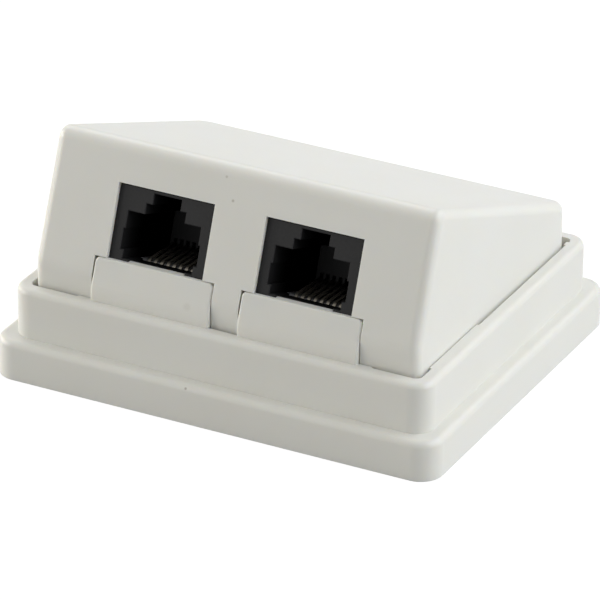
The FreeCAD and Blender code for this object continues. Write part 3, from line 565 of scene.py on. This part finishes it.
# %% Assign
FINISHES = {
    "base": abs_white,
    "cover": abs_white,
    "circuit_board": mask,
    "jack_housing": pbt_black,
    "contact_carrier": carrier_grey,
    "contacts": gold,
    "idc_block": polymer,
    "idc_blades": tin,
    "idc_cap": polypropylene,
}
for name, piece in nodes.items():
    finish = next(material for ending, material in FINISHES.items() if name.endswith(ending))
    piece.data.materials.clear()
    piece.data.materials.append(finish)
print("finishes:", sorted({material.name for material in FINISHES.values()}))

# %% [markdown]
# ## Floor and backdrop
# The box stands on a plain white sheet that reaches past the edge of the view. For light that
# bounces it is a pale grey. Where the camera or a reflection meets it, most of it glows white
# instead, so the sheet stays bright and the box still has its soft shadow.

# %% Which rays look at the backdrop
def looking_ray(material):
    """One for camera, glossy and transmission rays, and nothing for light that bounces softly."""
    ray = add(material, "ShaderNodeLightPath")
    seen = ray.outputs["Is Camera Ray"]
    for kind in ("Is Glossy Ray", "Is Transmission Ray"):
        seen = add(
            material,
            "ShaderNodeMath",
            {0: seen, 1: ray.outputs[kind]},
            operation="MAXIMUM",
        ).outputs[0]
    return seen


print("looking rays: camera, glossy and transmission")

# %% Floor
FLOOR_SIZE = 6.0
FLOOR_GREY = "#BDBDBB"
FLOOR_GLOW = 0.78
SHEET_WHITE = 1.22

bpy.ops.mesh.primitive_plane_add(size=FLOOR_SIZE, location=(0, 0, 0))
floor = bpy.context.active_object
floor.name = "floor"
paper, _ = new_material("white_paper_sheet")
share = add(
    paper,
    "ShaderNodeMath",
    {0: looking_ray(paper), 1: FLOOR_GLOW},
    operation="MULTIPLY",
)
matt = add(paper, "ShaderNodeBsdfDiffuse", {"Color": linear(FLOOR_GREY)})
glow = add(paper, "ShaderNodeEmission", {"Color": linear("#FFFFFF"), "Strength": SHEET_WHITE})
finish_material(
    paper,
    add(
        paper,
        "ShaderNodeMixShader",
        {0: share.outputs[0], 1: matt.outputs[0], 2: glow.outputs[0]},
    ),
)
floor.data.materials.append(paper)
print("floor reaches", FLOOR_SIZE / 2, "m from the box")

# %% [markdown]
# ## Light
# A product like this is lit in a tent of bright cloth, open in front where the camera looks in. So
# the top and the sides are bright and the front is calmer. Six soft lamps stand in for the cloth,
# and a little even light from the room fills the opening. The backdrop that the camera and
# reflections see has a brightness of its own.

# %% World
ROOM_LIGHT = 0.20
BACKDROP = 0.60

world = bpy.data.worlds.new("studio")
bpy.context.scene.world = world
world.use_nodes = True
world.node_tree.nodes.clear()
room = add(
    world,
    "ShaderNodeMapRange",
    {"Value": looking_ray(world), "To Min": ROOM_LIGHT, "To Max": BACKDROP},
)
sky = add(
    world,
    "ShaderNodeBackground",
    {"Color": linear("#FFFFFF"), "Strength": room.outputs["Result"]},
)
add(world, "ShaderNodeOutputWorld", {"Surface": sky.outputs[0]})
print("room light", ROOM_LIGHT, "backdrop", BACKDROP)

# %% [markdown]
# A lamp is placed by its angle round the box from straight in front, its height angle, and how much
# light it lays on a surface that faces it. The power that gives this grows with the square of the
# lamp's distance.

# %% Soft lamps
LAMP_DISTANCE = 1.2
LAMP_WIDTH = 0.70
LAMP_HEIGHT = 0.45
WARM_CLOTH = "#FFFCF6"
COOL_CLOTH = "#FAFCFF"
# Name, angle round the box and height angle in degrees, light laid on the box, colour.
CLOTHS = (
    ("left_cloth", -90, 14, 1.40, WARM_CLOTH),
    ("front_left_cloth", -60, 14, 1.36, WARM_CLOTH),
    ("right_cloth", 90, 14, 0.88, COOL_CLOTH),
    ("upper_right_cloth", 85, 45, 0.92, COOL_CLOTH),
    ("back_right_cloth", 135, 45, 1.20, COOL_CLOTH),
    ("back_left_cloth", 225, 45, 0.58, COOL_CLOTH),
)

for name, turn, rise, light, colour in CLOTHS:
    turn, rise = math.radians(turn), math.radians(rise)
    lamp = bpy.data.lights.new(name, "AREA")
    lamp.shape = "RECTANGLE"
    lamp.size = LAMP_WIDTH
    lamp.size_y = LAMP_HEIGHT
    lamp.energy = light * math.pi * LAMP_DISTANCE**2
    lamp.color = linear(colour)[:3]
    holder = bpy.data.objects.new(name, lamp)
    bpy.context.scene.collection.objects.link(holder)
    flat = math.cos(rise)
    aim = Vector((math.sin(turn) * flat, -math.cos(turn) * flat, math.sin(rise)))
    facing_box = aim.to_track_quat("Z", "Y").to_matrix().to_4x4()
    holder.matrix_world = Matrix.Translation(aim * LAMP_DISTANCE) @ facing_box
print("lamps:", [name for name, *_ in CLOTHS])
